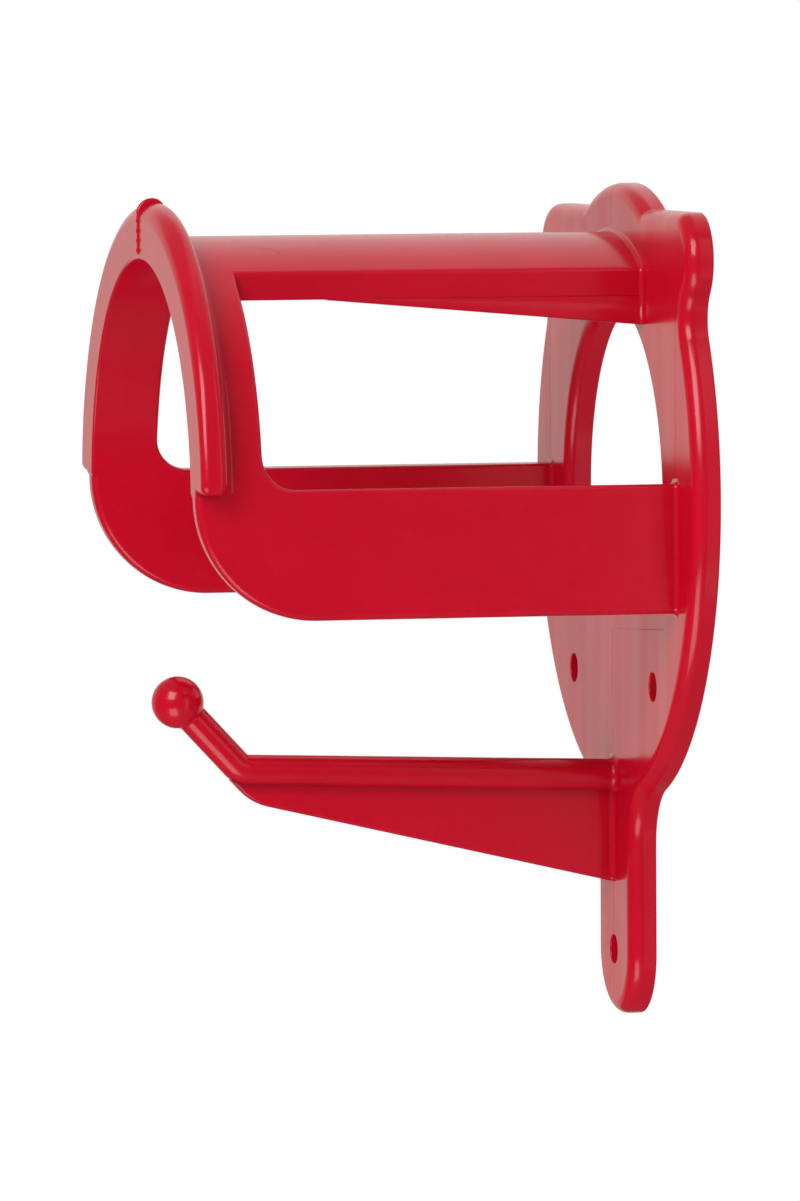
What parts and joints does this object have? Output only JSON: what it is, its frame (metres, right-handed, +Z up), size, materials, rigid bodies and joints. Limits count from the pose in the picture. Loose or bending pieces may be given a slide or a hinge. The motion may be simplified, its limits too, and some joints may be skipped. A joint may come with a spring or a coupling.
{
  "type": "bridle rack",
  "caption": "Wall-mounted rack for a bridle: a pear-shaped plate with a round window carries a half-round saddle with a raised front rim and, below it, an upturned ball-ended hook.",
  "frame": {"origin": "midpoint between the two upper screw holes, on the wall face", "axes": "+Z up along the wall, +Y into the wall, so the rack reaches towards -Y, and +X to the right seen from the front"},
  "size_m": [0.136, 0.1108, 0.1798],
  "materials": {
    "red_plastic": "glossy moulded plastic"
  },
  "bodies": {
    "root": {"back_plate": "red_plastic", "top_spine": "red_plastic", "left_spine_skirt": "red_plastic", "right_spine_skirt": "red_plastic", "left_arch_arm": "red_plastic", "right_arch_arm": "red_plastic", "left_stop_rim": "red_plastic", "right_stop_rim": "red_plastic", "hook_bar": "red_plastic", "hook_web": "red_plastic", "hook_ball": "red_plastic"}
  },
  "joints": []
}
